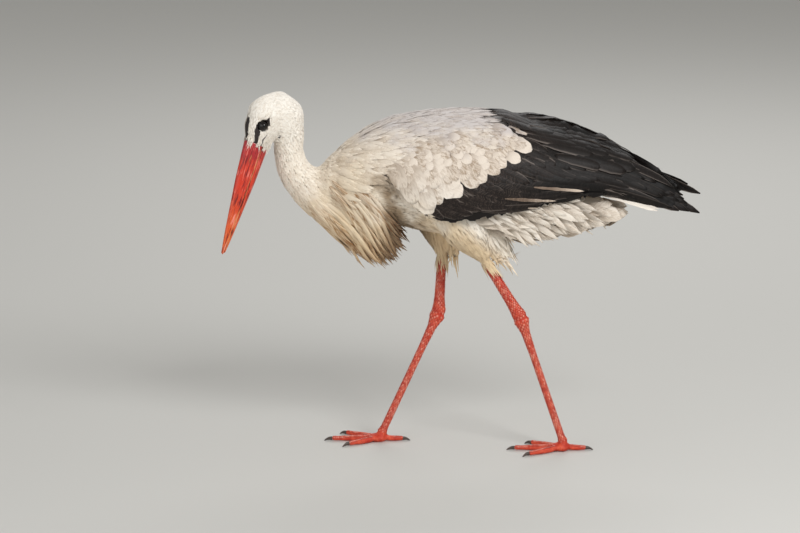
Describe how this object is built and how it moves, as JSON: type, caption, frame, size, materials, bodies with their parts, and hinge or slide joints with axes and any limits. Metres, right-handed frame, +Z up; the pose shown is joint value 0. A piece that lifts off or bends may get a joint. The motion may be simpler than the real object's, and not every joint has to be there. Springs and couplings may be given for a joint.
{
  "type": "white stork",
  "caption": "White stork in a foraging step: head lowered and turned, red bill pointing down, black flight feathers folded, long red legs apart.",
  "frame": {"origin": "on the ground, under the middle of the bounding box", "axes": "+Z up, -X is the way the bird walks, -Y is its left side"},
  "size_m": [0.7528, 0.2164, 0.5772],
  "materials": {
    "white_plumage": "soft matte white feathers, warm cream in the folds",
    "breast_plumage": "long soft cream and tan feathers",
    "black_plumage": "charcoal black flight feathers with a faint sheen and greyish outer webs",
    "bill_horn": "satin red horn, orange towards the tip",
    "leg_skin": "salmon red scaled skin",
    "claw_horn": "dull black horn",
    "eye": "wet dark brown eye"
  },
  "bodies": {
    "root": {"wing_left_coverts": "white_plumage", "wing_left_secondaries": "black_plumage", "wing_left_primaries": "black_plumage", "wing_right_coverts": "white_plumage", "wing_right_secondaries": "black_plumage", "wing_right_primaries": "black_plumage", "head": "white_plumage", "bill_upper": "bill_horn", "bill_lower": "bill_horn", "eye_left": "eye", "eye_right": "eye", "neck_upper": "white_plumage", "neck_lower": "white_plumage", "trunk": "white_plumage", "breast_plume": "breast_plumage", "tail": "white_plumage", "undertail": "white_plumage", "thigh_left": "white_plumage", "shank_left": "leg_skin", "tarsus_left": "leg_skin", "foot_left": "leg_skin", "toe_left_middle": "leg_skin", "claw_left_middle": "claw_horn", "toe_left_inner": "leg_skin", "claw_left_inner": "claw_horn", "toe_left_outer": "leg_skin", "claw_left_outer": "claw_horn", "toe_left_hind": "leg_skin", "claw_left_hind": "claw_horn", "thigh_right": "white_plumage", "shank_right": "leg_skin", "tarsus_right": "leg_skin", "foot_right": "leg_skin", "toe_right_middle": "leg_skin", "claw_right_middle": "claw_horn", "toe_right_inner": "leg_skin", "claw_right_inner": "claw_horn", "toe_right_outer": "leg_skin", "claw_right_outer": "claw_horn", "toe_right_hind": "leg_skin", "claw_right_hind": "claw_horn"}
  },
  "joints": []
}
